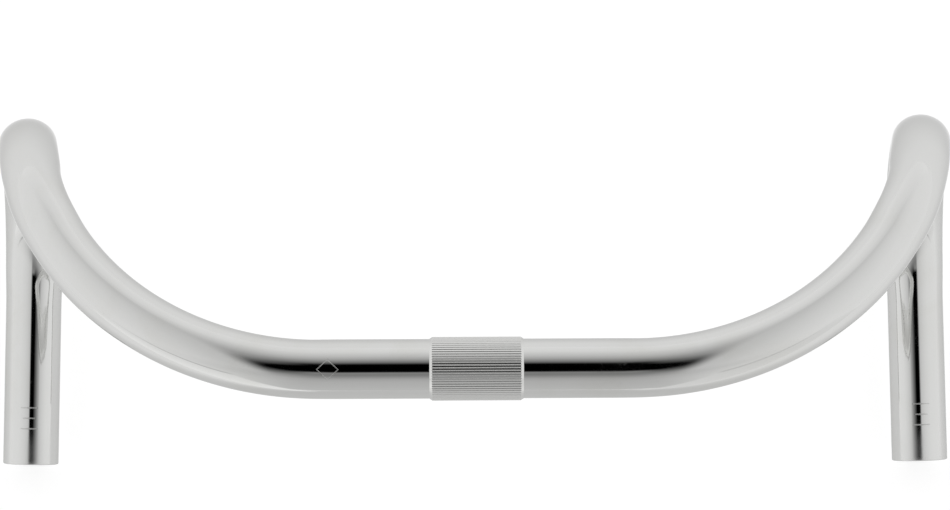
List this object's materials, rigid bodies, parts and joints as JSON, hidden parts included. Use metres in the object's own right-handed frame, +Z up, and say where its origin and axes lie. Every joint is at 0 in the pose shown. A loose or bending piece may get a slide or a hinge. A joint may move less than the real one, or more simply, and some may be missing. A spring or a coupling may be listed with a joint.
{
  "type": "drop handlebar",
  "caption": "Drop handlebar bent from steel tube, with sweeping tops, round hooks, short level drops, open ends and a fluted clamp sleeve at its centre.",
  "frame": {"origin": "centre of the clamp sleeve, on the tube's centre line", "axes": "+X along the clamp axis to the rider's right, +Y forward to the hooks, +Z up, with the drops level below the tops"},
  "size_m": [0.4076, 0.1472, 0.1704],
  "materials": {
    "polished_tube": "mirror-polished chrome plate over steel tube, dull grey inside the bore",
    "fluted_sleeve": "bright chrome plate over fine straight flutes, with plain sloping rims"
  },
  "bodies": {
    "root": {"bar_tube": "polished_tube", "clamp_sleeve": "fluted_sleeve"}
  },
  "joints": []
}
